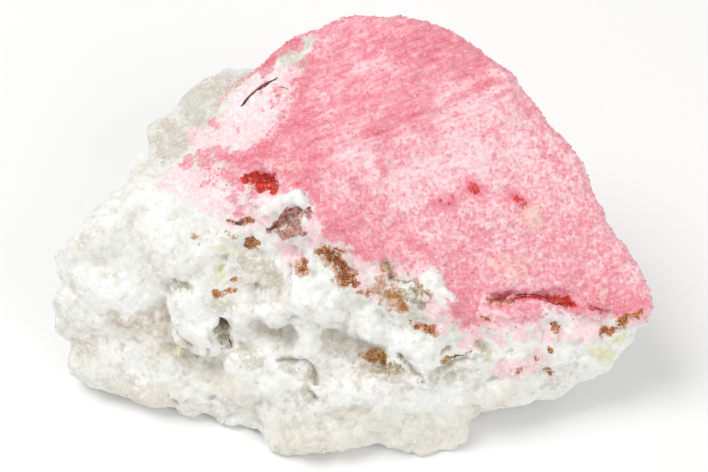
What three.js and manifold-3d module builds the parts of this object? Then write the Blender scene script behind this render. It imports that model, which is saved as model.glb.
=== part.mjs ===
// A hand specimen of thulite: a rose pink crust on milky quartz, broken from its vein as one piece.
// Millimetres, +Z up. The stone stands on its broken underside, whose lowest places are level at z = 0.
import * as THREE from "three";
import { ConvexHull } from "three/addons/math/ConvexHull.js";
import { ImprovedNoise } from "three/addons/math/ImprovedNoise.js";
import { mergeVertices } from "three/addons/utils/BufferGeometryUtils.js";
import Module from "manifold-3d";

const wasm = await Module();
wasm.setup();

// Driving dimensions.
const edgeRounding = 0.3; // how much the edges between the broken faces are worn
const grainSkin = 0.2; // how far the grains stand out of the faces between the corners
const standDepth = 8; // depth of the block that takes the underside off level

// The stone is two blocks. Each is broken faces round a heart, given by the corners where they meet.
// Its girth (half length, depth and height) spreads the triangles, which detail makes finer.
const mainBlock = {
  heart: [0, 0, 9],
  girth: [22, 14, 12],
  detail: 19,
  corners: [
    // the crest of the pink crust, from the left over the top to the tip at the right
    [-6.6, 9.4, 19.2], [-5.4, 8.9, 22.4], [-3, 9.3, 23.4], [1.1, 9.3, 24], [6.5, 8.9, 23.6], [9.7, 7.5, 22.6],
    [12.1, 5.9, 21.5], [14.4, 3.2, 19.2], [16.4, 2.3, 17.6], [18.2, 0, 15.7], [20.6, -3.4, 12.1],
    [21.7, -4.4, 10.6], [22.5, -5.9, 9.2], [22.2, -7.4, 7],
    // the low ridge that parts the streaked top from the granular face
    [-1, -0.4, 20.7], [5.1, 1.5, 20.9], [10.8, 5.6, 21.8],
    // the ridge at the left, in front of the facet that slopes away behind it
    [-6.2, -0.4, 20.4], [-7.7, -0.2, 19.7], [-10.5, 0.6, 18.4], [-13.2, 0.8, 16.7], [-15.9, 0.2, 15],
    // where the pink ends above the quartz
    [-4, -3.4, 18.5], [-1, -6.8, 15.5], [5.7, -7.7, 12], [7.9, -9.2, 10.2], [18.6, -7.6, 8.6],
    // the white lobe at the left
    [-17.5, 0.7, 13.4], [-19.6, -0.6, 12.9], [-21.3, -2, 11.8], [-21.9, -3.7, 10], [-22.4, -5.2, 7],
    [-22.5, -4.9, 5], [-21.6, -7.2, 2], [-19.6, -8.6, 1.5], [-16.6, -9.6, 1], [-13.2, -7, 9.4],
    // the foot of the quartz at the front
    [-13.9, -9.6, 1], [-10.6, -10.3, 1], [-7, -11.7, 1], [-2.7, -14, 1], [1.6, -13.6, 1], [5.9, -13.8, 1],
    // the lip at the right, which overhangs
    [13.4, -10.1, 2.2], [15.3, -10.7, 2.5], [17.3, -10, 3.1], [19, -9.2, 4], [20.4, -8.3, 4.6],
    // the back
    [-5, 11.5, 13], [3, 12.3, 12], [10, 10.2, 11], [16, 6, 8], [20, 0, 6], [-20, 3, 5], [-15, 5.5, 4],
    // the underside
    [-20, -5, -1], [-13, -8, -2], [-3, -11.5, -2], [5, -11, -2], [10, -7, -2], [15, -3, -1.5],
    [13, 6, -1.5], [4, 10, -2], [-6, 9, -2], [-14, 4, -2],
  ],
};
const shoulder = {
  heart: [-11, 7.5, 7],
  girth: [6, 6, 8],
  detail: 6,
  corners: [
    [-6.5, 12.5, 16.4], [-8.3, 12.9, 16.3], [-10.2, 12.9, 16.1], [-12.6, 11.7, 15.6], [-15.4, 9.6, 14],
    [-16.3, 8.8, 12.8], [-9, 6, 16.6], [-12.5, 5, 15],
    [-16.6, 6.6, 11.8], [-16.6, 4.4, 11.4], [-17.4, 2.8, 11.4], [-17.5, 8.5, 5], [-13.5, 12, 4],
    [-6.5, 13.6, 9], [-8, 13, 1], [-15, 8, -1.5], [-9, 11, -2], [-7, 5, -1], [-5, 9, 12],
  ],
};

// The surface forms that stand out of the blocks (rise above 0) or lie in them (below 0), each along a path.
const forms = [
  // the step between the streaked top and the facet at the left, and the crack in that facet
  { path: [[-5.9, 1.5, 20], [-5.2, 3.8, 20.8], [-4.3, 6.2, 21.8]], width: 0.9, rise: -0.75 },
  { path: [[-8.9, 5.3, 18], [-7.2, 6.8, 19], [-5.3, 6.9, 20.4]], width: 0.8, rise: -0.7 },
  // the valley between the ridge at the left and the shoulder
  { path: [[-10.5, 3.6, 17.2], [-13.5, 3.6, 15.5], [-16.3, 2.9, 13.2]], width: 1.5, rise: -1.6 },
  { path: [[-9.6, 2.8, 18.2], [-7.4, 3.4, 19.4]], width: 1.6, rise: -0.8 },
  // the bulges of the white lobe and the gully below them
  { path: [[-19.6, -5.6, 9.4], [-17, -5.8, 9.6]], width: 1.5, rise: 0.7 },
  { path: [[-16, -4.6, 12], [-14, -5.6, 10.8]], width: 1.2, rise: 0.6 },
  { path: [[-18, -6.7, 8], [-14, -7.1, 8]], width: 1.1, rise: -1.5 },
  { path: [[-21.2, -7, 5.5]], width: 1, rise: -0.5 },
  { path: [[-14.4, -8.3, 6.4], [-11.4, -9.5, 5.4]], width: 1.2, rise: -1.4 },
  // the tongue of quartz beside the vug, the niche above it and the lumps right of it
  { path: [[-12.9, -7.4, 8.9], [-11.6, -8.7, 6.9]], width: 1.3, rise: 1.8 },
  { path: [[-13.2, -5.9, 10.3]], width: 0.8, rise: -0.8 },
  { path: [[-8.6, -7.4, 9.4], [-6.2, -7.4, 9.4]], width: 1.1, rise: 0.9 },
  { path: [[-8, -8.6, 8], [-5.2, -8.7, 8]], width: 0.9, rise: -1.4 },
  { path: [[-4.4, -6.6, 12.5], [-4.2, -8.3, 9.4], [-3.2, -8.8, 8.4]], width: 1, rise: 0.9 },
  { path: [[-5.4, -5.4, 14.2], [-5.3, -6.8, 11.6]], width: 0.8, rise: -0.7 },
  { path: [[-1.8, -7.6, 10.8], [-1.6, -8.4, 9.4]], width: 1, rise: 0.8 },
  // the hollows in the middle and the folds and lumps right of them
  { path: [[-2.4, -9.2, 7.8], [0.8, -9.6, 7.2]], width: 1.1, rise: -1.8 },
  { path: [[3.4, -9.3, 7.4], [5.4, -10.3, 5.6]], width: 0.7, rise: -0.7 },
  { path: [[4.6, -9.2, 7.8], [5, -9.7, 6.6]], width: 1.1, rise: 0.9 },
  { path: [[6, -10.3, 6], [9.4, -9.6, 6.6]], width: 0.8, rise: -0.9 },
  // the foot, which bulges at its middle and draws back towards the right
  { path: [[-6.8, -10.6, 4.6], [-1, -11.6, 4.8]], width: 1.3, rise: 0.6 },
  { path: [[3, -11.2, 4.6], [8, -11.2, 4.4]], width: 1.4, rise: 0.8 },
  { path: [[-9.8, -11, 2.4]], width: 1.2, rise: -0.6 },
  { path: [[-14.2, -9.8, 0.8]], width: 0.8, rise: -0.8 },
  { path: [[10.4, -11.6, 1.2], [12.4, -11, 1.4]], width: 1.8, rise: -0.8 },
  { path: [[20.6, -8, 5.8]], width: 0.7, rise: -0.7 },
];

// The pits, each an egg-shaped hollow with half its length, depth and height, turned about X, Y and Z in degrees.
const pits = [
  // the cavity under the pink ledge at the left, lined with red grains, and the slit beside it
  { at: [-6.8, -2.1, 18.1], size: [1.5, 1.3, 0.75], turned: [-25, 4, 0] },
  // the brown cavity under the white lumps
  { at: [-5.7, -4.6, 15.5], size: [1, 1.3, 0.75], turned: [-25, -38, 0] },
  { at: [-4.4, -4, 16.4], size: [1, 1.2, 0.8], turned: [-25, -48, 0] },
  // the vug beside the tongue
  { at: [-10, -8.4, 8.3], size: [0.75, 1.5, 1.35], turned: [-15, 20, 0] },
  // the hollow under the rusty ledge
  { at: [2.5, -9.8, 6.6], size: [1.05, 1, 0.55], turned: [-20, 8, 0] },
  // the narrow opening under the edge of the pink crust at the right
  { at: [12.2, -7.3, 10.9], size: [2.6, 1.4, 0.42], turned: [-12, 4, 4] },
  { at: [15.8, -7, 10.3], size: [2.2, 1.5, 0.5], turned: [-12, 12, 0] },
  // the small brown hole in the foot
  { at: [-3.4, -11.4, 4.6], size: [0.55, 1, 0.6], turned: [-20, 30, 0] },
];
const pitDetail = 2;
const pitRoughness = 0.3; // share of a pit's size by which its wall wanders

// The quartz is lumpy and the pink crust is flat. The crust begins above these heights, by x.
const crustFoot = [[-24, 19], [-10, 18], [-1, 15.5], [6, 12], [8, 10], [14, 9.3], [23, 7.5]];
const crustFade = 1.5;
const crustLip = { height: 0.45, width: 1 }; // its lower edge stands out of the quartz
const lumps = [{ size: 5.2, height: 1.1 }, { size: 2.8, height: 0.6 }];
const waves = [{ size: 9, height: 0.5 }, { size: 3.4, height: 0.28 }];
const perlin = new ImprovedNoise();
const noiseSeed = 4.3;

function noiseAt(point, size) {
  const place = point.clone().divideScalar(size).addScalar(noiseSeed);
  return perlin.noise(place.x, place.y, place.z);
}

// The distance from a point to a path of straight stretches.
const stretch = new THREE.Line3();
const nearest = new THREE.Vector3();
function distanceToPath(point, path) {
  let least = Infinity;
  for (let i = 0; i < path.length; i++) {
    stretch.start.fromArray(path[i]);
    stretch.end.fromArray(path[Math.min(i + 1, path.length - 1)]);
    stretch.closestPointToPoint(point, true, nearest);
    least = Math.min(least, nearest.distanceTo(point));
  }
  return least;
}

// How far a point is above the foot of the crust.
function aboveCrustFoot(point) {
  const next = Math.max(crustFoot.findIndex(([x]) => x > point.x), 1);
  const [[x0, z0], [x1, z1]] = crustFoot.slice(next - 1, next + 1);
  return point.z - THREE.MathUtils.mapLinear(point.x, x0, x1, z0, z1);
}

// How far the surface stands out at a point: rounded lumps with creases between them, waves and the forms.
function relief(point) {
  const above = aboveCrustFoot(point);
  const quartz = 1 - THREE.MathUtils.smoothstep(above, -crustFade, crustFade);
  let rise = crustLip.height * Math.exp(-(((above - crustLip.width) / crustLip.width) ** 2));
  for (const { size, height } of lumps) rise += quartz * height * (2 * Math.abs(noiseAt(point, size)) - 0.4);
  for (const { size, height } of waves) rise += height * noiseAt(point, size);
  for (const form of forms) {
    const share = distanceToPath(point, form.path) / form.width;
    rise += form.rise * Math.exp(-share * share);
  }
  return rise;
}

// The faces of the hull round a block's corners, as outward normals and distances from its heart.
function brokenFaces(corners, heart) {
  const points = corners.map((corner) => new THREE.Vector3(...corner).sub(heart));
  const hull = new ConvexHull().setFromPoints(points);
  return hull.faces.map((face) => ({ normal: face.normal.clone(), distance: face.constant }));
}

// How far a block reaches from its heart in a direction: to its nearest face, with the edges worn round.
function blockReach(faces, direction) {
  const reaches = [];
  for (const { normal, distance } of faces) {
    const facing = normal.dot(direction);
    if (facing > 0) reaches.push((distance + grainSkin) / facing);
  }
  const least = Math.min(...reaches);
  const sum = reaches.reduce((total, reach) => total + Math.exp((least - reach) / edgeRounding), 0);
  return least - edgeRounding * Math.log(sum);
}

// A closed ball whose points are moved by a function.
function shapedBall(detail, move) {
  const ball = new THREE.IcosahedronGeometry(1, detail);
  ball.deleteAttribute("normal");
  ball.deleteAttribute("uv");
  const geometry = mergeVertices(ball, 1e-5);
  const position = geometry.getAttribute("position");
  const point = new THREE.Vector3();
  for (let i = 0; i < position.count; i++) {
    point.fromBufferAttribute(position, i);
    move(point);
    position.setXYZ(i, point.x, point.y, point.z);
  }
  return geometry;
}

function blockGeometry({ heart, girth, detail, corners }) {
  const centre = new THREE.Vector3(...heart);
  const spread = new THREE.Vector3(...girth);
  const faces = brokenFaces(corners, centre);
  return shapedBall(detail, (point) => {
    const direction = point.clone().multiply(spread).normalize();
    const reach = blockReach(faces, direction);
    const surface = direction.clone().multiplyScalar(reach).add(centre);
    point.copy(direction).multiplyScalar(reach + relief(surface)).add(centre);
  });
}

function pitGeometry({ at, size, turned }) {
  const centre = new THREE.Vector3(...at);
  const scale = new THREE.Vector3(...size);
  const turn = new THREE.Euler(...turned.map(THREE.MathUtils.degToRad));
  return shapedBall(pitDetail, (point) => {
    const wander = 1 + pitRoughness * noiseAt(point.clone().multiplyScalar(2).add(centre), 1);
    point.multiplyScalar(wander).multiply(scale).applyEuler(turn).add(centre);
  });
}

function toSolid(geometry) {
  const vertProperties = geometry.getAttribute("position").array;
  const triVerts = new Uint32Array(geometry.index.array);
  return new wasm.Manifold(new wasm.Mesh({ numProp: 3, vertProperties, triVerts }));
}

function toGeometry(solid) {
  const mesh = solid.getMesh();
  const geometry = new THREE.BufferGeometry();
  geometry.setAttribute("position", new THREE.BufferAttribute(mesh.vertProperties, mesh.numProp));
  geometry.setIndex(new THREE.BufferAttribute(mesh.triVerts, 1));
  geometry.computeVertexNormals();
  return geometry;
}

function groundGeometry() {
  const side = 80;
  const box = new THREE.BoxGeometry(side, side, standDepth);
  box.deleteAttribute("normal");
  box.deleteAttribute("uv");
  return mergeVertices(box.translate(0, 0, -standDepth / 2));
}

function stoneGeometry() {
  let stone = toSolid(blockGeometry(mainBlock)).add(toSolid(blockGeometry(shoulder)));
  stone = stone.subtract(toSolid(groundGeometry()));
  for (const pit of pits) stone = stone.subtract(toSolid(pitGeometry(pit)));
  return toGeometry(stone);
}

const thulite = new THREE.MeshStandardMaterial({ color: 0xf29bab, roughness: 0.6, metalness: 0 });
const specimen = new THREE.Mesh(stoneGeometry(), thulite);
specimen.name = "thulite_specimen";

const part = new THREE.Group();
part.add(specimen);
export default part;
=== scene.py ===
import math
import bmesh
import bpy
import numpy as np
from mathutils import Matrix, Vector, noise
from mathutils.bvhtree import BVHTree


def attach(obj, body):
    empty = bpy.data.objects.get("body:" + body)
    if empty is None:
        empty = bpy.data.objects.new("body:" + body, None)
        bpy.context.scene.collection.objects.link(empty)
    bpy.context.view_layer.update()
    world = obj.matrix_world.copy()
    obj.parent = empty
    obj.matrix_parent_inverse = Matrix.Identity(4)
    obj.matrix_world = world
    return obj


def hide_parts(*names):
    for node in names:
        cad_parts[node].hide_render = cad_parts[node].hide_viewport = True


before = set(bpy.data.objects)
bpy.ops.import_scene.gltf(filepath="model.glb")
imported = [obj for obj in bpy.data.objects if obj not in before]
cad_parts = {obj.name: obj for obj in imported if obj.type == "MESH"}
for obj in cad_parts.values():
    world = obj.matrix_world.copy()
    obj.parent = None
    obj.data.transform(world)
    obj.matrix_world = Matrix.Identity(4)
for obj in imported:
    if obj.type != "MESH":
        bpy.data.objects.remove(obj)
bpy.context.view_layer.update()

mm = 0.001
tiny = 1e-9     # keeps a division by a length of nothing away

# Small helpers


def linear(hexColour):
    # from a colour as on a screen to the linear one that the materials count in
    channels = [int(hexColour[i:i + 2], 16) / 255 for i in (1, 3, 5)]
    return tuple(c / 12.92 if c <= 0.04045 else ((c + 0.055) / 1.055) ** 2.4 for c in channels) + (1.0,)


def newMaterial(name):
    material = bpy.data.materials.new(name)
    material.use_nodes = True
    material.node_tree.nodes.clear()
    return material


def addNode(tree, kind, settings=None, links=None, **values):
    # settings are the node's own options, links its inputs that other nodes feed, values its fixed inputs;
    # an input that goes by its number stands among the links, also where it is fixed
    made = tree.nodes.new("ShaderNode" + kind)
    for name, value in (settings or {}).items():
        setattr(made, name, value)
    for name, value in values.items():
        made.inputs[name.replace("_", " ")].default_value = value
    for name, source in (links or {}).items():
        if isinstance(source, bpy.types.NodeSocket):
            tree.links.new(source, made.inputs[name])
        else:
            made.inputs[name].default_value = source
    return made


def addPiece(name, mesh):
    piece = bpy.data.objects.new(name, mesh)
    bpy.context.scene.collection.objects.link(piece)
    return piece


def meshPoints(mesh):
    points = np.empty(len(mesh.vertices) * 3)
    mesh.vertices.foreach_get("co", points)
    return points.reshape(-1, 3)


def meshNormals(mesh):
    normals = np.empty(len(mesh.vertices) * 3)
    mesh.vertex_normals.foreach_get("vector", normals)
    return normals.reshape(-1, 3)


def meshEdges(mesh):
    edges = np.empty(len(mesh.edges) * 2, dtype=np.int32)
    mesh.edges.foreach_get("vertices", edges)
    return edges.reshape(-1, 2)


def setPoints(mesh, points):
    mesh.vertices.foreach_set("co", points.ravel())
    mesh.update()


def smoothStep(low, high, value):
    share = np.clip((value - low) / (high - low), 0, 1)
    return share * share * (3 - 2 * share)


def smoothed(points, edges, rounds, strength=0.5):
    count = np.bincount(edges.ravel(), minlength=len(points))
    points = points.copy()
    for _ in range(rounds):
        for axis in range(points.shape[1]):
            values = points[:, axis]
            total = np.bincount(edges[:, 0], values[edges[:, 1]], len(points))
            total += np.bincount(edges[:, 1], values[edges[:, 0]], len(points))
            points[:, axis] = values + strength * (total / count - values)
    return points


def surfaceTree(mesh):
    return BVHTree.FromPolygons([v.co for v in mesh.vertices], [p.vertices for p in mesh.polygons])

# The camera stands where the photograph was taken from

view = {
    "elevation": 48,        # degrees above the horizon
    "lens": 105,            # mm, on a sensor 36 mm wide
    "sensor": 36,
    "target": (0, -3, 13),  # mm, what the middle of the picture shows
    "mmPerPixel": 0.0756,   # at the target
    "pixels": (708, 472),
    "sideDistance": 100,    # mm, from where the hidden sides are looked at
}
focalPixels = view["lens"] / view["sensor"] * view["pixels"][0]
viewTilt = math.radians(view["elevation"])
viewBack = Vector((0, -math.cos(viewTilt), math.sin(viewTilt)))
viewRight = Vector((1, 0, 0))
viewUp = viewBack.cross(viewRight)
viewTarget = Vector(view["target"]) * mm
viewEye = viewTarget + viewBack * focalPixels * view["mmPerPixel"] * mm


def sightLine(pixel):
    across = pixel[0] - view["pixels"][0] / 2
    down = pixel[1] - view["pixels"][1] / 2
    return (viewRight * across - viewUp * down - viewBack * focalPixels).normalized()


def pictureRay(pixel):
    return viewEye, sightLine(pixel)


def sideRay(place):
    # for a place given as an angle around the stone (0 in front, 90 at the right end) and a height in mm
    angle, height = place
    outward = Vector((math.sin(math.radians(angle)), -math.cos(math.radians(angle)), 0))
    return outward * (view["sideDistance"] * mm) + Vector((0, 0, height * mm)), -outward


def onSurface(tree, path, rayTo=pictureRay):
    # the places in mm where the rays to a path meet a surface
    hits = [tree.ray_cast(*rayTo(place))[0] for place in path]
    return [np.array(hit) / mm for hit in hits if hit is not None]


def makeCamera():
    lens = bpy.data.cameras.new("camera")
    lens.lens = view["lens"]
    lens.sensor_width = view["sensor"]
    camera = bpy.data.objects.new("camera", lens)
    camera.location = viewEye
    camera.rotation_euler = (math.pi / 2 - viewTilt, 0, 0)
    bpy.context.scene.collection.objects.link(camera)
    bpy.context.scene.camera = camera


makeCamera()

# The stone's surface: the solid's mesh, made fine, with its facets worn off and its fracture added

stone = {
    "seed": 5,              # any number but 0, which would give another stone each time
    "coarseGrid": 0.32,     # mm, the mesh that takes the large forms
    "fineGrid": 0.228,      # mm, the final mesh
    "facetRounds": 4,       # how often the solid's flat facets are smoothed
    "gridRounds": 1,        # how often the final mesh is, against the steps of its grid
    "hollowRounds": 12,     # how often the surface is smoothed to find what lies below its surroundings
    "warpSize": 2.6, "warpReach": 0.9,            # mm: the wander that makes the lumps uneven
    "quartzLumps": [(3.6, 0.7), (1.8, 0.32)],     # mm: size and height of rounded masses with creases
    "quartzSugar": [(0.9, 0.13), (0.55, 0.07)],   # mm: the same for the grains that they are made of
    "lumpHeight": 0.6, "lumpFall": 1.7,           # a lump's middle, and its fall to the crease, in heights
    "quartzFaces": [(1.3, 0.2), (0.7, 0.16)],     # mm: size of the broken faces, and their slope
    "faceSpread": 5.3,                            # sets the slopes of neighbouring faces apart
    "crustWaves": [(5.0, 0.26), (1.6, 0.11)],     # mm: size and height of the crust's waves
    "crustGrains": [(0.7, 0.07), (0.5, 0.05)],    # mm: size and height of its grains
    "footWaves": [(9.0, 1.3), (4.1, 0.7), (2.3, 0.35)],   # mm: length and height of its foot's waves
    "wavesBehind": (3, 9),                        # mm behind the middle, over which these waves come in
    "wavesTurn": 0.6,                             # how far they run on along the depth
    "coarseEdge": (-0.6, 1.0),                    # mm about the foot, where quartz turns into crust
    "fineEdge": (-0.4, 0.6),                      # mm: the same for the grains
    "wander": [(1.6, 0.34), (0.6, 0.2)],          # mm: size and reach of the wander of all edges
    "softEdge": 2, "crispEdge": 4,                # how steeply the large and the small forms end
    "farAway": 2.0,                               # reaches, from where on a form doesn't count
    "calmEdge": 1.6, "calmShare": 0.7,            # reaches of a flat place, and how much relief it lacks
    "markEdge": 1.5,                              # reaches, where a mark ends
    "crustLimits": (-3, 1.4),                     # mm from the foot, beyond which the crust counts the same
    "bareDepth": 3.0,                             # mm of crust that a bare place takes away
    "streakWidth": 0.4, "streakHeight": 0.11,     # mm
    "streakLength": 7,                            # in widths
}
streakPixels = [(340, 141), (446, 101)]           # a streak on the crust, in pixels of the photograph
# where the pink crust ends above the quartz, in pixels of the photograph
crustFoot = [(60, 150), (150, 150), (190, 160), (215, 166), (248, 176), (275, 196), (300, 192), (312, 212),
             (330, 238), (352, 248), (372, 262), (395, 266), (415, 276), (433, 290), (445, 318), (466, 331),
             (488, 325), (530, 322), (560, 318), (600, 322), (645, 330)]
crustFootEnds = [(-24, 18.5), (-11, 17.8)]        # mm: x and height where the sight lines run past the stone

# what stands out of the face (above 0) or lies in it: reach and height in mm, path in pixels
largeForms = [
    (1.7, 0.8, [(98, 288), (128, 302)]), (1.3, 0.6, [(150, 235), (168, 255)]),
    (1.2, 0.5, [(105, 235), (120, 225)]), (1.0, 0.4, [(92, 318), (130, 322), (158, 326)]),
    (0.8, 0.55, [(276, 229)]), (0.8, 0.55, [(294, 213)]), (0.7, 0.3, [(222, 332)]),
    (0.7, 0.3, [(258, 182), (270, 184)]), (1.2, 0.8, [(188, 300), (197, 322), (203, 340)]),
    (0.8, 0.5, [(243, 309), (262, 312), (277, 318)]), (0.9, 0.6, [(303, 302), (322, 312)]),
    (0.8, 0.6, [(430, 281), (440, 291), (451, 300)]), (0.8, -0.8, [(255, 327), (272, 331), (290, 336)]),
    (0.85, -0.8, [(332, 339), (350, 346), (374, 355)]), (0.9, -0.5, [(262, 262), (275, 285)]),
    (1.0, 0.7, [(418, 352), (425, 370)]), (1.5, 0.7, [(250, 365), (240, 395)]),
    (1.6, 0.7, [(345, 392), (392, 395)]), (1.3, 0.7, [(306, 440), (332, 441)]),
    (1.2, -0.9, [(214, 425), (232, 428), (248, 428)]), (0.9, -0.7, [(500, 350), (486, 340)]),
    (1.0, 0.6, [(520, 345), (560, 350)]), (0.7, -0.4, [(190, 362), (210, 366)]),
    (1.2, 0.6, [(150, 350), (170, 380)]), (0.7, 0.5, [(583, 333), (600, 345)]),
    (1.6, 0.4, [(350, 26), (395, 29)]), (1.6, 0.65, [(410, 33), (440, 40), (466, 54)]),
    (0.9, 0.5, [(498, 74), (506, 80)]), (1.1, -0.6, [(528, 98), (540, 116)]),
    (1.2, 0.45, [(564, 150), (577, 170)]), (0.4, -0.2, [(589, 192)]), (0.5, 0.4, [(598, 210)]),
    (1.0, 0.7, [(616, 252), (630, 274)]), (0.9, 0.5, [(640, 290), (642, 304)]),
    (1.8, 0.9, [(80, 250), (96, 230), (114, 214), (132, 202)]), (1.1, -0.6, [(144, 150), (140, 170)]),
    (1.5, 0.7, [(82, 366), (104, 380), (134, 390), (152, 394)]), (0.9, 0.5, [(482, 402), (500, 398)]),
    (0.8, 0.5, [(632, 322), (638, 318)]),
]
# the same on the sides that the photograph doesn't show, with paths of angles and heights
hiddenForms = [
    (1.3, 0.9, [(148, 6), (160, 7), (166, 9)]), (1.0, -0.8, [(172, 4), (184, 6), (196, 5)]),
    (0.9, -0.8, [(214, 9), (224, 8), (230, 10)]), (1.2, 0.8, [(198, 12), (208, 13)]),
    (0.8, -0.7, [(118, 4), (128, 5)]), (1.1, 0.7, [(238, 5), (248, 8)]), (0.7, -0.6, [(262, 9), (266, 13)]),
    (0.8, 0.5, [(130, 11), (140, 14)]), (0.7, -0.45, [(150, 14), (162, 17)]),
    (0.9, 0.5, [(176, 16), (186, 17)]), (0.8, -0.6, [(96, 5), (104, 4)]),
    (1.0, 0.6, [(104, 2.5), (114, 3)]), (0.8, -0.6, [(152, 3), (158, 2)]), (0.8, 0.6, [(206, 3), (214, 4)]),
    (0.8, 0.5, [(276, 6), (284, 8)]), (0.9, -0.6, [(248, 3), (256, 4)]),
    (1.3, -0.5, [(104, 13), (112, 15)]), (1.1, 0.45, [(116, 9), (122, 11)]),
    (0.7, -0.35, [(106, 9.5), (110, 11)]), (1.2, 0.4, [(128, 15), (136, 17)]),
]
# cavities and crystals with clear edges, the same way
smallForms = [
    (0.4, -0.3, [(250, 178), (262, 180), (276, 180)]), (0.35, -0.3, [(257, 184), (262, 190)]),
    (0.35, -0.3, [(268, 186), (274, 190)]), (0.18, -0.2, [(231, 185), (243, 178)]),
    (0.3, -0.3, [(231, 222), (246, 222)]), (0.3, 0.25, [(284, 228)]), (0.26, 0.2, [(292, 234)]),
    (0.3, 0.3, [(248, 230)]), (0.26, 0.3, [(262, 224)]),
    (0.3, -0.1, [(345, 145), (392, 128), (441, 111), (492, 84)]),
    (0.4, 0.08, [(340, 139), (392, 121), (441, 103), (496, 76)]),
    (0.24, -0.5, [(494, 299), (508, 295), (532, 296), (548, 298)]),
    (0.34, -0.6, [(552, 299), (564, 302), (572, 306)]), (0.22, -0.35, [(584, 306), (606, 311)]),
    (0.3, 0.3, [(498, 311), (520, 313)]), (0.3, 0.3, [(545, 314), (560, 316)]), (0.25, -0.6, [(164, 161)]),
    (0.25, -0.4, [(222, 317), (221, 322)]), (0.32, -0.4, [(221, 322), (215, 338)]),
    (0.32, -0.4, [(223, 322), (230, 345)]), (0.35, -0.3, [(222, 338)]),
    (0.4, -0.5, [(175, 286), (190, 288)]),
    (0.3, -0.5, [(170, 314), (176, 334), (186, 346), (196, 354), (206, 352)]),
    (0.32, -0.5, [(289, 266), (289, 292)]), (0.4, -0.6, [(282, 362), (303, 363)]),
    (0.4, -0.6, [(305, 366), (316, 378)]), (0.45, -0.35, [(378, 367), (397, 371)]),
    (0.4, -0.4, [(308, 392), (313, 399)]), (0.28, -0.6, [(400, 356), (412, 375), (423, 384)]),
    (0.3, -0.4, [(432, 377), (450, 362), (480, 360)]), (0.45, -0.5, [(172, 402)]),
    (0.32, -0.5, [(546, 373)]), (0.5, -0.3, [(330, 252), (336, 264), (347, 275)]),
    (0.3, -0.4, [(411, 298), (420, 303)]), (0.25, -0.4, [(240, 344), (258, 352)]),
    (0.35, -0.4, [(480, 342), (486, 350)]), (0.25, -0.35, [(395, 268), (390, 275)]),
    (0.25, -0.3, [(448, 350), (440, 356)]), (0.3, -0.4, [(344, 330), (330, 326)]),
    (0.22, -0.35, [(184, 349)]), (0.3, -0.35, [(262, 290), (255, 285)]),
    (0.35, -0.4, [(224, 262), (219, 270)]),
]

# rounded crystals that stand half out of the face: radius in mm, their middles in pixels
roundLumps = [
    (0.62, [(286, 199)]), (0.55, [(275, 203), (297, 194)]), (0.45, [(266, 209), (301, 202), (290, 209)]),
    (0.36, [(259, 212), (281, 211), (270, 214), (293, 189), (256, 203)]),
    (0.28, [(250, 208), (262, 219), (304, 208), (248, 216)]), (0.4, [(128, 321), (147, 326)]),
    (0.3, [(137, 317), (158, 318), (196, 358), (179, 353)]), (0.34, [(334, 341), (354, 349)]),
    (0.3, [(240, 268), (257, 263), (272, 271), (318, 297), (341, 293)]),
    (0.24, [(404, 294), (414, 288), (424, 295), (409, 306)]), (0.32, [(436, 281), (444, 292), (450, 303)]),
    (0.26, [(318, 240), (314, 248), (308, 236)]),
]

# where the fracture is flat: reach in mm, path in pixels
calmAreas = [
    (3.0, [(160, 110), (195, 92), (235, 84)]), (2.2, [(160, 140), (185, 148)]),
    (2.6, [(270, 80), (250, 112), (225, 138)]), (2.6, [(100, 250), (150, 225), (190, 205)]),
    (1.8, [(545, 385), (590, 385)]), (2.0, [(90, 350), (130, 375)]), (1.4, [(200, 300), (215, 290)]),
    (1.4, [(95, 275), (120, 285)]),
]


def calmness(points, tree):
    calm = np.zeros(len(points))
    for reach, pixels in calmAreas:
        away = distanceToPath(points, onSurface(tree, pixels), reach)
        calm = np.maximum(calm, np.clip(stone["calmEdge"] - away, 0, 1))
    return 1 - stone["calmShare"] * calm


def distanceToPath(points, path, reach):
    # for points in mm: their distance to a path of straight stretches, in reaches
    least = np.full(len(points), stone["farAway"])
    if not path:
        return least
    ends = np.array(path)
    middle = ends.mean(0)
    radius = np.linalg.norm(ends - middle, axis=1).max() + stone["farAway"] * reach
    near = np.flatnonzero(((points - middle) ** 2).sum(1) < radius * radius)
    for start, end in zip(ends, ends[1:] if len(ends) > 1 else ends):
        along = end - start
        length = max(along @ along, tiny)
        share = np.clip((points[near] - start) @ along / length, 0, 1)
        away = np.linalg.norm(points[near] - start - share[:, None] * along, axis=1) / reach
        least[near] = np.minimum(least[near], away)
    return least


def remeshed(mesh, grid):
    carrier = bpy.data.objects.new("carrier", mesh)
    bpy.context.scene.collection.objects.link(carrier)
    modifier = carrier.modifiers.new("grid", "REMESH")
    modifier.mode = "VOXEL"
    modifier.voxel_size = grid * mm
    modifier.adaptivity = 0
    evaluated = carrier.evaluated_get(bpy.context.evaluated_depsgraph_get())
    result = bpy.data.meshes.new_from_object(evaluated)
    bpy.data.objects.remove(carrier)
    return result


def solidMesh():
    shape = bmesh.new()
    shape.from_mesh(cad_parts["thulite_specimen"].data)
    bmesh.ops.remove_doubles(shape, verts=shape.verts, dist=mm / 1000)
    mesh = bpy.data.meshes.new("solid")
    shape.to_mesh(mesh)
    shape.free()
    return mesh


def aboveFoot(points, foot):
    # how far points in mm lie above the foot of the crust, which wanders on the hidden sides
    along = points[:, 0] + stone["wavesTurn"] * points[:, 1]
    turn = 2 * math.pi
    waves = sum(height * np.sin(turn * along / length + length) for length, height in stone["footWaves"])
    level = np.interp(points[:, 0], foot[:, 0], foot[:, 1])
    return points[:, 2] - level - smoothStep(*stone["wavesBehind"], points[:, 1]) * waves


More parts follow.
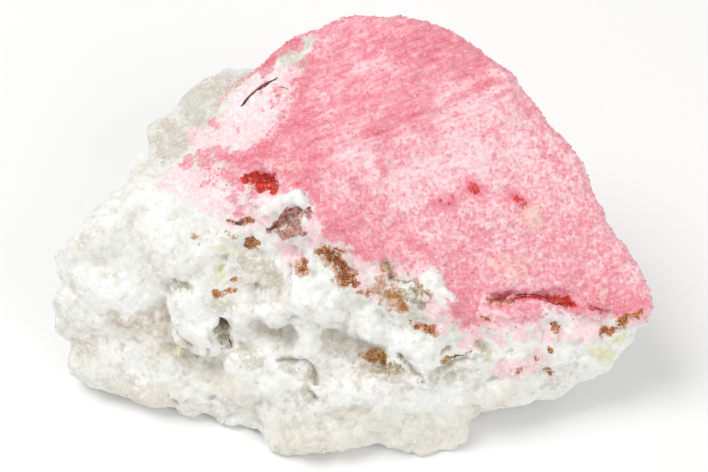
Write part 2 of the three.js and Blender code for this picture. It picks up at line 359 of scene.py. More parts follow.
def roundedLumps(place, sizes):
    # rounded masses that meet in creases
    rise = 0
    for size, height in sizes:
        away = noise.voronoi(place / size)[0][0]
        rise += height * (stone["lumpHeight"] - stone["lumpFall"] * away * away)
    return rise


def brokenFaces(place, sizes):
    # each cell of the fracture has a slope of its own
    rise = 0
    for size, slope in sizes:
        scaled = place / size
        centre = noise.voronoi(scaled)[1][0]
        rise += slope * size * noise.noise_vector(centre * stone["faceSpread"]).dot(scaled - centre)
    return rise


def wavesAt(place, sizes):
    return sum(height * noise.noise(place / size) for size, height in sizes)


def displaced(mesh, heights):
    points = meshPoints(mesh) + meshNormals(mesh) * heights[:, None] * mm
    points[:, 2] = np.maximum(points[:, 2], 0)
    setPoints(mesh, points)


def wandering(points):
    moved = []
    for point in points:
        place = Vector(point)
        steps = [noise.noise_vector(place / size) * reach for size, reach in stone["wander"]]
        moved.append(place + sum(steps, Vector()))
    return np.array(moved)


def carve(mesh, forms, tree, steepness, rayTo=pictureRay):
    wandered = wandering(meshPoints(mesh) / mm)
    heights = np.zeros(len(wandered))
    for reach, height, path in forms:
        away = distanceToPath(wandered, onSurface(tree, path, rayTo), reach)
        heights += height * np.exp(-away ** steepness) * (away < stone["farAway"])
    displaced(mesh, heights)


def addRoundLumps(mesh, tree):
    # balls sunk by half, which the next remeshing makes one with the stone
    shape = bmesh.new()
    shape.from_mesh(mesh)
    for radius, pixels in roundLumps:
        for place in onSurface(tree, pixels):
            middle = Matrix.Translation(Vector(place) * mm)
            bmesh.ops.create_icosphere(shape, subdivisions=3, radius=radius * mm, matrix=middle)
    shape.to_mesh(mesh)
    shape.free()


def alongStreaks(points, streak):
    # the same places, drawn together along the streaks, so that what is made from them is long
    return points - np.outer(points @ streak, streak) * (1 - 1 / stone["streakLength"])


def footLine(tree):
    # where the crust ends above the quartz, as places along x and z in mm
    found = np.array(onSurface(tree, crustFoot))[:, (0, 2)]
    foot = np.array(crustFootEnds + [tuple(place) for place in found if place[0] > crustFootEnds[-1][0]])
    return foot[np.argsort(foot[:, 0])]


def streakDirection(tree):
    start, end = onSurface(tree, streakPixels)
    return (end - start) / np.linalg.norm(end - start)


def addLumps(mesh, tree, foot):
    # rounded masses in the quartz, and low waves in the crust
    points = meshPoints(mesh) / mm
    quartz = 1 - smoothStep(*stone["coarseEdge"], aboveFoot(points, foot))
    rough = calmness(points, tree)
    heights = np.zeros(len(points))
    for i, point in enumerate(points):
        place = Vector(point)
        place += noise.noise_vector(place / stone["warpSize"]) * stone["warpReach"]
        if quartz[i] > 0:
            heights[i] += quartz[i] * rough[i] * roundedLumps(place, stone["quartzLumps"])
        heights[i] += (1 - quartz[i]) * wavesAt(place, stone["crustWaves"])
    displaced(mesh, heights)


def addSugar(mesh, tree, foot, streak):
    # small grains and broken faces in the quartz, grains and streaks in the crust
    points = meshPoints(mesh) / mm
    quartz = 1 - smoothStep(*stone["fineEdge"], aboveFoot(points, foot))
    rough = calmness(points, tree)
    drawn = alongStreaks(points, streak)
    heights = np.zeros(len(points))
    for i, point in enumerate(points):
        place = Vector(point)
        if quartz[i] > 0:
            rise = roundedLumps(place, stone["quartzSugar"]) + brokenFaces(place, stone["quartzFaces"])
            heights[i] += quartz[i] * rough[i] * rise
        if quartz[i] < 1:
            rise = roundedLumps(place, stone["crustGrains"])
            rise += stone["streakHeight"] * noise.noise(Vector(drawn[i]) / stone["streakWidth"])
            heights[i] += (1 - quartz[i]) * rise
    displaced(mesh, heights)


def makeStoneMesh():
    mesh = remeshed(solidMesh(), stone["coarseGrid"])
    setPoints(mesh, smoothed(meshPoints(mesh), meshEdges(mesh), stone["facetRounds"]))
    tree = surfaceTree(mesh)
    foot, streak = footLine(tree), streakDirection(tree)
    addLumps(mesh, tree, foot)
    tree = surfaceTree(mesh)
    carve(mesh, largeForms, tree, stone["softEdge"])
    carve(mesh, hiddenForms, tree, stone["softEdge"], sideRay)
    addRoundLumps(mesh, surfaceTree(mesh))

    mesh = remeshed(mesh, stone["fineGrid"])
    setPoints(mesh, smoothed(meshPoints(mesh), meshEdges(mesh), stone["gridRounds"]))
    tree = surfaceTree(mesh)
    carve(mesh, smallForms, tree, stone["crispEdge"])
    addSugar(mesh, tree, foot, streak)
    return mesh, foot, streak


noise.seed_set(stone["seed"])
stoneMesh, foot, streak = makeStoneMesh()
print("stone surface", len(stoneMesh.polygons), "faces")

# What colours the stone: minerals and stains, each a reach in mm and a path of pixels of the photograph,
# and below 1 where it is only scattered

marks = {
    "bare": [   # where the quartz shows through the crust
        (0.7, [(284, 63), (279, 72)]), (1.5, [(272, 85), (262, 100)], 0.5), (2.1, [(256, 108), (246, 120)]),
        (1.5, [(252, 132), (236, 135)]), (1.2, [(222, 136), (212, 142)]), (0.7, [(299, 55), (307, 45)]),
        (1.4, [(232, 118), (222, 128)]), (0.75, [(264, 208), (284, 207), (300, 201)]),
        (0.8, [(435, 279), (444, 298)]), (1.3, [(250, 88), (238, 106), (222, 120)]),
    ],
    "streaked": [   # where the crust was sheared, so that its grains lie in streaks
        (5.0, [(330, 60), (360, 110)]), (4.0, [(400, 50), (420, 90)]), (3.0, [(460, 60), (480, 75)]),
        (2.5, [(310, 130), (350, 140)]),
    ],
    "pale": [   # thulite mixed with quartz
        (2.6, [(462, 112), (500, 108), (508, 140)]), (1.9, [(455, 150), (480, 160)]),
        (1.6, [(350, 150), (380, 170), (410, 190)]), (1.2, [(425, 165), (440, 185)]),
        (1.0, [(440, 225), (460, 240)], 0.5), (0.9, [(328, 180), (350, 196)], 0.8),
        (0.5, [(360, 70), (385, 62)]), (5.0, [(500, 180), (560, 230), (600, 275)], 0.5),
        (0.9, [(404, 142), (430, 150)], 0.8), (3.0, [(400, 215), (440, 250)], 0.3),
        (0.7, [(420, 270), (432, 290)], 0.8),
    ],
    "rose": [   # the deepest pink, along ridges and the crust's foot
        (0.9, [(194, 160), (222, 156), (246, 153), (264, 150)]),
        (1.5, [(298, 66), (292, 100), (290, 140), (304, 172)], 0.5), (1.3, [(405, 46), (440, 44)], 0.35),
        (0.8, [(598, 296), (636, 298)], 0.6), (0.7, [(322, 222), (335, 235), (350, 242)], 0.5),
        (0.7, [(352, 240), (372, 254), (395, 258)], 0.35), (0.8, [(225, 172), (240, 182), (250, 196)]),
        (0.5, [(236, 205), (240, 212)]), (0.8, [(450, 300), (452, 316), (468, 326)], 0.3),
        (0.6, [(590, 306), (620, 309), (640, 304)], 0.8), (0.7, [(500, 306), (530, 306)], 0.5),
        (0.8, [(560, 308), (580, 311)]), (0.3, [(342, 140), (372, 130), (420, 114), (448, 100)], 0.6),
        (0.28, [(448, 100), (495, 78), (506, 68)], 0.8), (0.5, [(475, 187)]), (0.4, [(518, 203)]),
        (0.4, [(451, 202)]), (0.6, [(303, 180), (310, 198)], 0.7), (0.45, [(296, 248)]),
        (0.5, [(258, 104), (263, 110)]), (0.4, [(234, 124), (240, 132)]), (0.6, [(291, 42), (299, 46)]),
        (1.0, [(258, 72), (276, 52)], 0.8), (0.8, [(208, 178), (232, 190)], 0.4),
        (0.6, [(214, 122), (219, 126)]), (0.5, [(460, 340), (474, 347)]),
        (0.5, [(380, 160), (386, 172)], 0.6), (0.5, [(410, 240), (424, 252)], 0.7),
        (0.6, [(470, 182), (484, 192)], 0.7), (0.6, [(508, 196), (524, 206)], 0.7),
        (0.6, [(432, 200), (454, 206)], 0.7),
    ],
    "blush": [  # quartz with a little pink
        (1.6, [(200, 178), (225, 195), (235, 208)]), (1.0, [(285, 248), (298, 255), (292, 268)]),
        (1.2, [(255, 205), (275, 205)]), (0.9, [(470, 342), (500, 335), (540, 332)], 0.75),
        (0.7, [(484, 312), (500, 314)], 0.9), (1.0, [(250, 84), (234, 106)], 0.8),
        (0.9, [(195, 135), (206, 140)]), (1.5, [(255, 108), (240, 128)]), (1.0, [(560, 330), (590, 328)]),
        (1.0, [(505, 370), (535, 362)]), (0.9, [(355, 275), (372, 290)]), (1.0, [(170, 180), (190, 172)]),
        (1.0, [(312, 232), (335, 252)], 0.9), (1.0, [(362, 270), (392, 282)], 0.8),
        (0.9, [(430, 300), (442, 324)], 0.9), (1.6, [(278, 82), (262, 102), (232, 134)]),
        (0.7, [(436, 280), (447, 298)], 0.7), (1.0, [(252, 212), (262, 220)], 0.8),
        (1.2, [(286, 82), (277, 104), (265, 128), (246, 142)]),
    ],
    "milky": [  # thulite thinly spread in quartz
        (2.0, [(262, 96), (256, 108), (238, 130), (214, 138)]),
        (1.4, [(182, 182), (206, 192), (222, 202)], 0.7),
    ],
    "deepRose": [   # thulite with no quartz in it
        (0.7, [(190, 162), (212, 156), (236, 154), (262, 150)], 0.9),
        (0.5, [(226, 172), (240, 182), (250, 194)], 0.75), (0.35, [(236, 204), (240, 212)], 0.8),
        (0.3, [(258, 104), (263, 110)], 0.8), (0.25, [(234, 124), (240, 132)], 0.8),
        (0.35, [(212, 120), (219, 126)], 0.8), (0.4, [(289, 42), (300, 46)], 0.8),
        (0.5, [(472, 181), (480, 190)], 0.85), (0.8, [(208, 176), (236, 192)], 0.4),
        (0.5, [(303, 184), (309, 196)], 0.65), (0.9, [(264, 94), (280, 100)], 0.44),
        (0.45, [(513, 197), (523, 206)], 0.85), (0.42, [(436, 204), (453, 199)], 0.8),
        (0.5, [(500, 299), (545, 299)], 0.8), (0.4, [(272, 56), (280, 50)], 0.6),
        (0.4, [(322, 225), (336, 236)], 0.55), (0.45, [(345, 243), (372, 256)], 0.55),
        (0.4, [(385, 262), (392, 268)], 0.7), (0.4, [(450, 304), (466, 322)], 0.6),
        (0.3, [(296, 248)], 0.7), (0.4, [(560, 306), (580, 312)], 0.9),
        (0.35, [(600, 310), (632, 306)], 0.8), (0.3, [(422, 246), (430, 254)], 0.75),
        (0.3, [(380, 164), (386, 172)], 0.7),
    ],
    "white": [  # the cleanest quartz, and one painted light on the lip under the pink tip
        (0.6, [(262, 212), (276, 206), (288, 201), (297, 196)]), (0.5, [(278, 211), (294, 206)]),
        # the first mark on the next line lightens the lip under the pink tip, whose side lies in shade: a
        # painted light
        (1.0, [(560, 360), (590, 358)], 0.7), (0.8, [(434, 280), (446, 300)], 0.9),
        (1.5, [(184, 296), (196, 318), (206, 338)], 0.7), (1.0, [(292, 272), (300, 295)], 0.9),
        (1.4, [(305, 305), (330, 318)], 0.8), (1.4, [(110, 290), (130, 302)], 0.7),
        (1.3, [(340, 392), (385, 392)], 0.7), (1.0, [(240, 318), (262, 314)], 0.8),
        (0.9, [(252, 244), (270, 252)], 0.7), (1.0, [(550, 312), (570, 320)], 0.7),
        (1.2, [(420, 400), (455, 392)], 0.7), (1.0, [(395, 330), (410, 345)], 0.7),
        (1.6, [(110, 350), (140, 372)], 0.6), (1.2, [(420, 352), (428, 368)], 0.7),
    ],
    "tan": [
        (0.9, [(380, 286), (394, 300)], 0.95), (0.6, [(388, 270), (398, 284)], 0.8),
        (0.6, [(396, 300), (404, 306)], 0.9), (0.6, [(408, 282), (424, 292)], 0.55),
        (0.16, [(277, 94), (283, 90)], 0.8), (0.4, [(364, 355), (385, 352)], 0.7),
        (0.8, [(328, 255), (346, 278)], 0.8), (0.4, [(226, 235), (234, 239)], 0.55),
        (0.4, [(602, 336), (620, 326)], 0.6), (0.4, [(384, 366), (394, 370)], 0.7),
        (0.35, [(504, 370), (534, 363)], 0.5), (0.35, [(418, 327), (432, 331)]),
        (0.5, [(300, 262), (303, 270)], 0.8), (0.4, [(196, 236), (200, 240)], 0.6), (0.3, [(546, 372)]),
        (0.4, [(214, 290), (220, 296)], 0.7),
    ],
    "olive": [
        (0.35, [(390, 262), (394, 274)]), (0.7, [(406, 284), (422, 302)], 0.68), (0.3, [(164, 161)]),
        (0.5, [(220, 328), (226, 340)], 0.9), (0.3, [(228, 336), (230, 347)]),
        (0.55, [(378, 366), (396, 371)], 0.9), (0.4, [(178, 286), (190, 289)], 0.5),
    ],
    "lime": [
        (0.4, [(221, 252), (218, 262), (220, 274)], 0.9), (0.7, [(598, 350), (610, 356)], 0.8),
        (0.6, [(620, 338), (634, 344)], 0.8), (0.4, [(210, 278), (222, 276)], 0.6),
        (0.4, [(480, 352), (486, 356)], 0.6), (0.3, [(181, 350)], 0.8),
    ],
    "cream": [  # where the pink turns towards yellow
        (0.8, [(280, 162), (288, 166)], 0.7), (0.9, [(505, 262), (518, 272)], 0.8),
        (0.8, [(526, 214), (538, 222)], 0.8), (0.6, [(556, 247)], 0.8),
        (0.6, [(566, 296), (600, 300)], 0.6),
    ],
    "grey": [
        # the first four marks grey the shoulder at the back left, which lies back in shade: painted shade
        (2.2, [(165, 105), (198, 92), (232, 84)], 0.76), (1.6, [(160, 135), (180, 148)], 0.75),
        (1.2, [(190, 112), (215, 120)], 0.8), (1.1, [(220, 94), (234, 86)], 0.8),
        (0.5, [(222, 233), (236, 239)], 0.7), (0.8, [(244, 352), (256, 362)], 0.65),
        (1.2, [(120, 316), (160, 320)], 0.75), (1.0, [(262, 264), (275, 284)], 0.85),
        (0.9, [(170, 348), (186, 360)], 0.85), (0.9, [(262, 330), (290, 335)]),
        (1.0, [(334, 340), (352, 347), (374, 356)]), (0.5, [(306, 390), (314, 400)]),
        (0.8, [(345, 256), (352, 262)]), (0.6, [(408, 296), (421, 304)], 0.6),
        (0.8, [(480, 342), (486, 350)]), (1.1, [(555, 385), (590, 390)], 0.55),
        (0.5, [(221, 325), (230, 342)]), (0.7, [(172, 286), (190, 290)], 0.85),
        (0.8, [(218, 305), (232, 312)], 0.75), (1.0, [(362, 377), (384, 388)], 0.85),
        (0.6, [(203, 148), (211, 150)]), (1.1, [(285, 54), (296, 66)], 0.9), (0.6, [(303, 46), (308, 44)]),
        (0.7, [(283, 362), (312, 374)]), (0.7, [(380, 367), (397, 372)]), (0.8, [(425, 384), (450, 372)]),
        (0.9, [(243, 262), (250, 280)], 0.55), (0.8, [(390, 378), (402, 386)]),
        (0.8, [(440, 385), (462, 372)], 0.7),
    ],
    "beige": [
        (1.2, [(66, 340), (86, 350)]), (0.9, [(78, 250), (94, 258)], 0.75), (1.3, [(130, 396), (158, 402)]),
        (0.9, [(226, 392), (243, 404)]), (1.6, [(285, 440), (335, 448)], 0.8),
        (2.0, [(350, 432), (420, 436), (470, 420)], 0.65), (1.0, [(342, 408), (360, 416)]),
        (1.4, [(160, 346), (200, 354)], 0.9), (1.2, [(362, 378), (384, 388)]),
        (1.0, [(216, 376), (236, 384)], 0.8), (1.2, [(118, 322), (165, 318)]),
        (0.9, [(260, 275), (285, 290)]), (0.9, [(235, 250), (262, 262)]),
        (1.0, [(480, 404), (510, 398)], 0.5), (1.0, [(222, 300), (236, 314)], 0.8),
        # both marks on the next line make the shoulder beige where it lies back in shade: painted shade
        (1.0, [(165, 130), (188, 138)], 0.7), (1.0, [(210, 84), (240, 90)], 0.8),
    ],
    "mauve": [  # the lining of the cavity under the white lumps
        (0.5, [(275, 230), (284, 223), (293, 214), (302, 211)]), (0.6, [(284, 235), (299, 230)], 0.9),
        (0.5, [(296, 222)]), (0.3, [(231, 220), (246, 223)], 0.9),
    ],
    "brown": [
        (0.24, [(270, 231), (276, 227)]), (0.16, [(293, 210), (305, 206)]),
        (0.2, [(236, 222), (247, 223)], 0.8), (0.42, [(331, 254), (338, 268)], 0.9),
        (0.26, [(343, 274), (353, 281)], 0.8), (0.16, [(370, 361), (386, 359)], 0.7),
        (0.2, [(304, 264)], 0.6), (0.18, [(622, 321), (634, 315)], 0.55), (0.2, [(250, 242)], 0.6),
    ],
    "rust": [
        (0.48, [(250, 240), (254, 245)]), (0.22, [(304, 259), (303, 271)], 0.9),
        (0.3, [(320, 251), (327, 249)]), (0.25, [(336, 248), (341, 250)], 0.9),
        (0.46, [(330, 253), (338, 266)]), (0.42, [(338, 267), (343, 276), (353, 281)]),
        (0.6, [(378, 288), (394, 300)], 0.25), (0.35, [(398, 302), (404, 306)], 0.7),
        (0.2, [(411, 322)], 0.9), (0.25, [(419, 327), (430, 331)], 0.7),
        (0.26, [(372, 361), (384, 360)], 0.7), (0.26, [(553, 325), (559, 329)]), (0.2, [(556, 336)], 0.9),
        (0.22, [(546, 347), (551, 348)], 0.8), (0.26, [(543, 371), (549, 374)], 0.95),
        (0.4, [(618, 322), (628, 315), (638, 311)], 0.8), (0.28, [(604, 329), (610, 330)]),
        (0.25, [(227, 288), (233, 289)], 0.75), (0.22, [(234, 279), (239, 279)], 0.6),
        (0.3, [(490, 302), (500, 298), (507, 303)], 0.55), (0.25, [(480, 318), (487, 320)], 0.7),
        (0.2, [(246, 221), (252, 221)]), (0.25, [(500, 307), (510, 302)], 0.55),
        (0.3, [(520, 372), (530, 368)], 0.35), (0.25, [(535, 360), (540, 362)], 0.4),
    ],
    "ochre": [  # iron oxide that is mixed with clay
        (0.28, [(360, 291), (367, 293)]), (0.36, [(366, 359), (378, 355), (388, 358)], 0.95),
        (0.2, [(438, 353), (446, 357)]), (0.16, [(446, 357), (456, 357), (468, 353)]),
        (0.22, [(441, 362), (447, 358)]), (0.28, [(213, 291), (217, 297)], 0.85),
        (0.25, [(391, 264), (394, 272)], 0.8), (0.4, [(384, 290), (394, 296)], 0.6),
        (0.25, [(494, 300), (502, 302)], 0.7),
    ],
    "red": [    # the clear red lining of the cavities
        (0.52, [(250, 178), (262, 180), (276, 180)]), (0.44, [(257, 184), (262, 190)]),
        (0.44, [(268, 186), (274, 190)]), (0.12, [(232, 184), (242, 179)]), (0.2, [(301, 184)], 0.8),
        (0.42, [(549, 299), (562, 301), (574, 306)]), (0.2, [(592, 308), (618, 314)], 0.7),
        (0.2, [(508, 296), (545, 298)], 0.7), (0.42, [(472, 184), (478, 190)], 0.66),
        (0.4, [(515, 200), (522, 206)], 0.66), (0.3, [(440, 203), (452, 200)], 0.62),
    ],
}

# the same on the sides that the photograph doesn't show, with paths of angles and heights
hiddenMarks = {
    "rust": [
        (0.5, [(150, 7), (154, 8.5)]), (0.4, [(204, 11), (208, 12)], 0.9), (0.35, [(121, 6), (124, 6.5)]),
        (0.4, [(236, 9), (240, 8.5)], 0.9), (0.3, [(178, 12)]), (0.35, [(166, 5), (169, 5.5)], 0.8),
        (0.3, [(98, 6)]), (0.25, [(260, 12)]),
    ],
    "brown": [(0.25, [(151, 7.5), (153, 8)], 0.8), (0.3, [(222, 9), (226, 9)], 0.8)],
    "tan": [
        (0.8, [(152, 6), (158, 9)], 0.8), (0.7, [(203, 10), (210, 12)], 0.8),
        (0.6, [(120, 6), (127, 7)], 0.7),
    ],
    "grey": [
        (1.6, [(170, 5), (188, 6)], 0.8), (1.4, [(214, 10), (226, 9)]), (1.4, [(112, 4), (126, 4)], 0.8),
        (1.6, [(250, 6), (262, 8)], 0.8), (1.2, [(196, 9), (202, 8)], 0.7),
        (1.2, [(280, 4), (290, 5)], 0.7),
    ],
    "beige": [
        (1.8, [(140, 3), (160, 4)], 0.8), (1.6, [(195, 4), (206, 3)], 0.8),
        (1.4, [(240, 13), (250, 12)], 0.8), (1.6, [(95, 3), (104, 3)]),
    ],
    "white": [
        (1.4, [(178, 9), (190, 8)], 0.8), (1.4, [(225, 6), (232, 5)], 0.8), (1.2, [(132, 6)], 0.8),
        (1.4, [(268, 10), (274, 12)], 0.7),
    ],
    "blush": [
        (1.4, [(200, 14), (212, 14)], 0.8), (1.2, [(160, 9), (172, 10)], 0.8),
        (1.1, [(110, 7), (120, 8)], 0.8),
    ],
    "pale": [
        (2.6, [(148, 14), (164, 16)]), (2.0, [(184, 18), (194, 19)]), (2.2, [(118, 11), (130, 12)], 0.8),
    ],
    "rose": [(1.0, [(156, 11), (176, 13)], 0.8), (0.9, [(98, 9), (112, 9)], 0.8)],
    "deepRose": [
        (0.4, [(160, 12), (168, 13)], 0.8), (0.35, [(140, 17), (148, 18)], 0.75),
        (0.4, [(110, 9), (116, 9)], 0.8), (0.35, [(186, 16)], 0.8),
    ],
    "bare": [(0.9, [(172, 15), (178, 16)]), (0.7, [(136, 12), (139, 13)])],
    "lime": [(0.5, [(190, 7), (194, 8)], 0.8), (0.4, [(256, 11)], 0.8)],
    "olive": [(0.4, [(206, 10)], 0.8), (0.5, [(128, 5), (132, 5)], 0.6)],
}


def markMesh(mesh, foot, streak):
    points = meshPoints(mesh) / mm
    wandered = wandering(points)
    tree = surfaceTree(mesh)
    fields = {"crust": np.clip(aboveFoot(points, foot), *stone["crustLimits"])}
    fields.update({name: np.zeros(len(points)) for name in marks})
    for kinds, rayTo in ((marks, pictureRay), (hiddenMarks, sideRay)):
        for name, paths in kinds.items():
            for reach, path, *solid in paths:
                away = distanceToPath(wandered, onSurface(tree, path, rayTo), reach)
                share = np.clip(stone["markEdge"] - away, 0, 1)
                fields[name] = np.maximum(fields[name], share * (solid[0] if solid else 1))
    edges = meshEdges(mesh)
    # how far each place lies below its smoothed surroundings, by which the material paints shade into the
    # colour of hollows
    level = smoothed(points, edges, stone["hollowRounds"])
    fields["hollow"] = ((level - points) * meshNormals(mesh)).sum(1)
    for name, values in fields.items():
        mesh.attributes.new(name, "FLOAT", "POINT").data.foreach_set("value", values.astype(np.float32))
    drawn = mesh.attributes.new("drawnPlace", "FLOAT_VECTOR", "POINT")
    drawn.data.foreach_set("vector", alongStreaks(points, streak).astype(np.float32).ravel())
    return fields


fields = markMesh(stoneMesh, foot, streak)
print("minerals and stains on", len(stoneMesh.vertices), "points")

# Milky quartz and granular thulite, broken by hand: sugary grains, which glitter where they broke flat

rock = {
    "crustColours": ("#E37588", "#F0A0AC", "#FCDADE"),    # from the deepest rose to the palest
    "quartzColours": ("#D8D4C9", "#EAEAE4", "#F2F3EF"),   # from clear and grey to milky white
    # the colour of the painted shade that darkens the quartz in its hollows
    "paintedHollowShade": "#B7A083",
    # each cloudy pattern's size in mm, its detail and its roughness
    "clouds": {"mottle": (0.9, 5, 0.68), "patches": (6.5, 3, 0.55), "ragged": (0.9, 5, 0.7),
               "specks": (0.26, 3, 0.6)},
    "streaks": (0.34, 3, 0.6),      # the same for the sheared crust
    # cells' sizes in mm, and the channel that shades them: real grains are 0.2 to 0.3, drawn coarser to show
    "cells": {"grains": (0.34, "Red"), "shards": (1.1, "Green")},
    # how much each pattern counts in the crust, and in the quartz
    "crustMix": {"mottle": 1.05, "patches": 0.8, "grains": 0.3, "specks": 1.75},
    "quartzMix": {"mottle": 1.0, "patches": 0.8, "grains": 0.2, "specks": 0.3, "shards": 0.22},
    "crustRange": (-0.55, 0.5),     # the sums of these that give the deepest and the palest colour
    "quartzRange": (-0.33, 0.22),
    # how far each mark makes the crust paler (above 0) or deeper; its hollows are made deeper as a painted
    # shade
    "crustTones": {"streaked": -0.1, "hollow": -1.0, "pale": 0.36, "rose": -0.4},
    "shearedMix": -0.45,            # what shearing takes from the patterns
    "streakShare": (1.2, 0.3),      # how much the streaks count: with shearing, and without
    "paintedShadeDepth": (0.03, 0.35),    # mm, over which the painted shade in the quartz's hollows deepens
    "paintedShadeDark": 0.75,             # how dark that painted shade gets
    "footRagged": 3.6,              # mm, how far the crust's foot wanders
    "footSpeckled": 2.4,            # mm, how far it breaks up into specks
    "footSoft": 0.7,                # mm, how soft its edge is
    "stainGrains": 0.3,             # how far single grains take a stain on or leave it
    "stainEdge": (0.5, 0.85),       # strengths at which a stain begins and is full
    "stainNear": (0.02, 0.2),       # the same without its ragged edge, which keeps it to its place
    "stainSpecks": (0.4, 0.6),      # the specks that show its light and its dark colour
    "relief": 0.35, "reliefHeight": 0.12,    # share, and mm
    "sparkle": 0.45,                # how far the broken faces of the grains lean
    "roughness": (0.25, 0.75),      # of the clearest and the dullest grain
    "bending": 1.55,                # the IOR of quartz
    "glow": 0.42,                   # share of the light that goes into the grains and out again
    "glowReach": 0.5,               # mm
    "glowColours": (1.0, 0.85, 0.8),    # how far red, green and blue light get, as shares of it
}
# each stain: the two colours that it varies between, how much it covers, and how ragged it is
stains = {
    "beige": ("#ECE4D6", "#DCD0BD", 0.55, 3.2),
    "grey": ("#D1C9BB", "#B6AB99", 0.58, 3.4),
    "blush": ("#FCE0E3", "#F9C3CB", 0.75, 3.4),
    "milky": ("#FBF0F0", "#F7D6DB", 0.58, 1.8),
    "white": ("#F8F8F6", "#F0F0EC", 0.82, 3.0),
    "deepRose": ("#F08DA0", "#DE5C77", 0.65, 5.0),
    "tan": ("#DDB496", "#AE7856", 0.85, 3.6),
    "cream": ("#F8E0C6", "#F4CDB6", 0.42, 4.6),
    "lime": ("#ECE9BE", "#D8D49A", 0.7, 3.8),
    "olive": ("#C2BB9E", "#857D62", 0.75, 4.2),
    "mauve": ("#CC958C", "#90564C", 0.95, 3.0),
    "rust": ("#CE8650", "#742C0E", 0.95, 3.8),
    "ochre": ("#CE9440", "#85501C", 0.92, 3.8),
    "brown": ("#8E5434", "#45220F", 0.85, 3.0),
    "red": ("#EE4028", "#A61406", 0.97, 2.8),
}


def rockMaterial():
    material = newMaterial("broken_thulite_and_milky_quartz")
    tree = material.node_tree
    place = addNode(tree, "TexCoord").outputs["Object"]
    colourMix = {"data_type": "RGBA"}
    base, over, mixed = 6, 7, 2     # the sockets of a Mix node for colours

    def weighed(total, *terms):
        # to a start, each source is added as often as its weight says
        for source, weight in terms:
            total = addNode(tree, "Math", {"operation": "MULTIPLY_ADD"},
                            {0: source, 1: weight, 2: total}).outputs[0]
        return total

    def patternsMixed(weights):
        # patterns run from 0 to 1, so half their weights bring the sum to lie about 0
        terms = [(patterns[name], weight) for name, weight in weights.items()]
        return weighed(-sum(weights.values()) / 2, *terms)

    def shaded(source, limits, colours):
        # colours at even steps from one limit to the other
        share = addNode(tree, "MapRange", links={"Value": source}, From_Min=limits[0], From_Max=limits[1])
        made = addNode(tree, "ValToRGB", links={"Fac": share.outputs[0]})
        steps = made.color_ramp.elements
        while len(steps) < len(colours):
            steps.new(0.5)
        for i, colour in enumerate(colours):
            steps[i].position = i / (len(colours) - 1)
            steps[i].color = linear(colour)
        return made.outputs[0]

    marked = {}
    for name in ("crust", "hollow", "streaked", "pale", "rose", "bare", *stains):
        marked[name] = addNode(tree, "Attribute", {"attribute_name": name}).outputs["Fac"]
    patterns = {}
    for name, (size, detail, roughness) in rock["clouds"].items():
        patterns[name] = addNode(tree, "TexNoise", links={"Vector": place}, Scale=1 / (size * mm),
                                 Detail=detail, Roughness=roughness).outputs["Fac"]
    cells = {}
    for name, (size, channel) in rock["cells"].items():
        made = addNode(tree, "TexVoronoi", links={"Vector": place}, Scale=1 / (size * mm))
        cells[name] = made.outputs["Color"]
        patterns[name] = addNode(tree, "SeparateColor", links={"Color": cells[name]}).outputs[channel]
    drawn = addNode(tree, "Attribute", {"attribute_name": "drawnPlace"}).outputs["Vector"]
    size, detail, roughness = rock["streaks"]
    streaks = addNode(tree, "TexNoise", links={"Vector": drawn}, Scale=1 / size, Detail=detail,
                      Roughness=roughness).outputs["Fac"]
    sources = (streaks, patterns["ragged"], patterns["specks"])
    streaks, edge, specks = [weighed(-0.5, (source, 1.0)) for source in sources]

    # the crust: deeper in its hollows, which is painted shade, paler where quartz is mixed in, streaked
    # where it was sheared
    sheared = marked["streaked"]
    whenSheared, always = rock["streakShare"]
    tone = weighed(0.0, (patternsMixed(rock["crustMix"]), weighed(1.0, (sheared, rock["shearedMix"]))))
    tone = weighed(tone, (streaks, weighed(always, (sheared, whenSheared))))
    tone = weighed(tone, *((marked[name], weight) for name, weight in rock["crustTones"].items()))
    crustColour = shaded(tone, rock["crustRange"], rock["crustColours"])

    # the quartz: white masses, greyer where it is clear, and darker in its hollows by a painted shade that
    # follows their depth
    quartzColour = shaded(patternsMixed(rock["quartzMix"]), rock["quartzRange"], rock["quartzColours"])
    # how much painted shade each place gets, from how deep it lies in a hollow
    shallow, deep = rock["paintedShadeDepth"]
    sunk = addNode(tree, "MapRange", links={"Value": marked["hollow"]}, From_Min=shallow, From_Max=deep,
                   To_Max=rock["paintedShadeDark"]).outputs[0]
    shade = {"Factor": sunk, base: quartzColour, over: linear(rock["paintedHollowShade"])}
    quartzColour = addNode(tree, "Mix", {**colourMix, "blend_type": "MULTIPLY"}, shade).outputs[mixed]

    # the crust's foot, ragged and broken up into specks
    foot = weighed(marked["crust"], (marked["bare"], -stone["bareDepth"]), (edge, rock["footRagged"]),
                   (specks, rock["footSpeckled"]))
    covered = addNode(tree, "MapRange", {"interpolation_type": "SMOOTHSTEP"}, {"Value": foot},
                      From_Min=-rock["footSoft"], From_Max=rock["footSoft"]).outputs[0]
    colour = {"Factor": covered, base: quartzColour, over: crustColour}
    colour = addNode(tree, "Mix", colourMix, colour).outputs[mixed]

    # the stains, each speckled with a light and a dark colour
    few, many = rock["stainSpecks"]
    speckled = addNode(tree, "MapRange", links={"Value": patterns["specks"]}, From_Min=few,
                       From_Max=many).outputs[0]
    begins, full = rock["stainEdge"]
    nearBegins, nearFull = rock["stainNear"]
    for name, (light, dark, cover, raggedness) in stains.items():
        reach = weighed(marked[name], (edge, raggedness), (patterns["grains"], rock["stainGrains"]))
        share = addNode(tree, "MapRange", {"interpolation_type": "SMOOTHSTEP"}, {"Value": reach},
                        From_Min=begins, From_Max=full, To_Max=cover).outputs[0]
        near = addNode(tree, "MapRange", links={"Value": marked[name]}, From_Min=nearBegins,
                       From_Max=nearFull).outputs[0]
        share = weighed(0.0, (share, near))
        stain = {"Factor": speckled, base: linear(light), over: linear(dark)}
        stain = addNode(tree, "Mix", colourMix, stain).outputs[mixed]
        colour = {"Factor": share, base: colour, over: stain}
        colour = addNode(tree, "Mix", colourMix, colour).outputs[mixed]

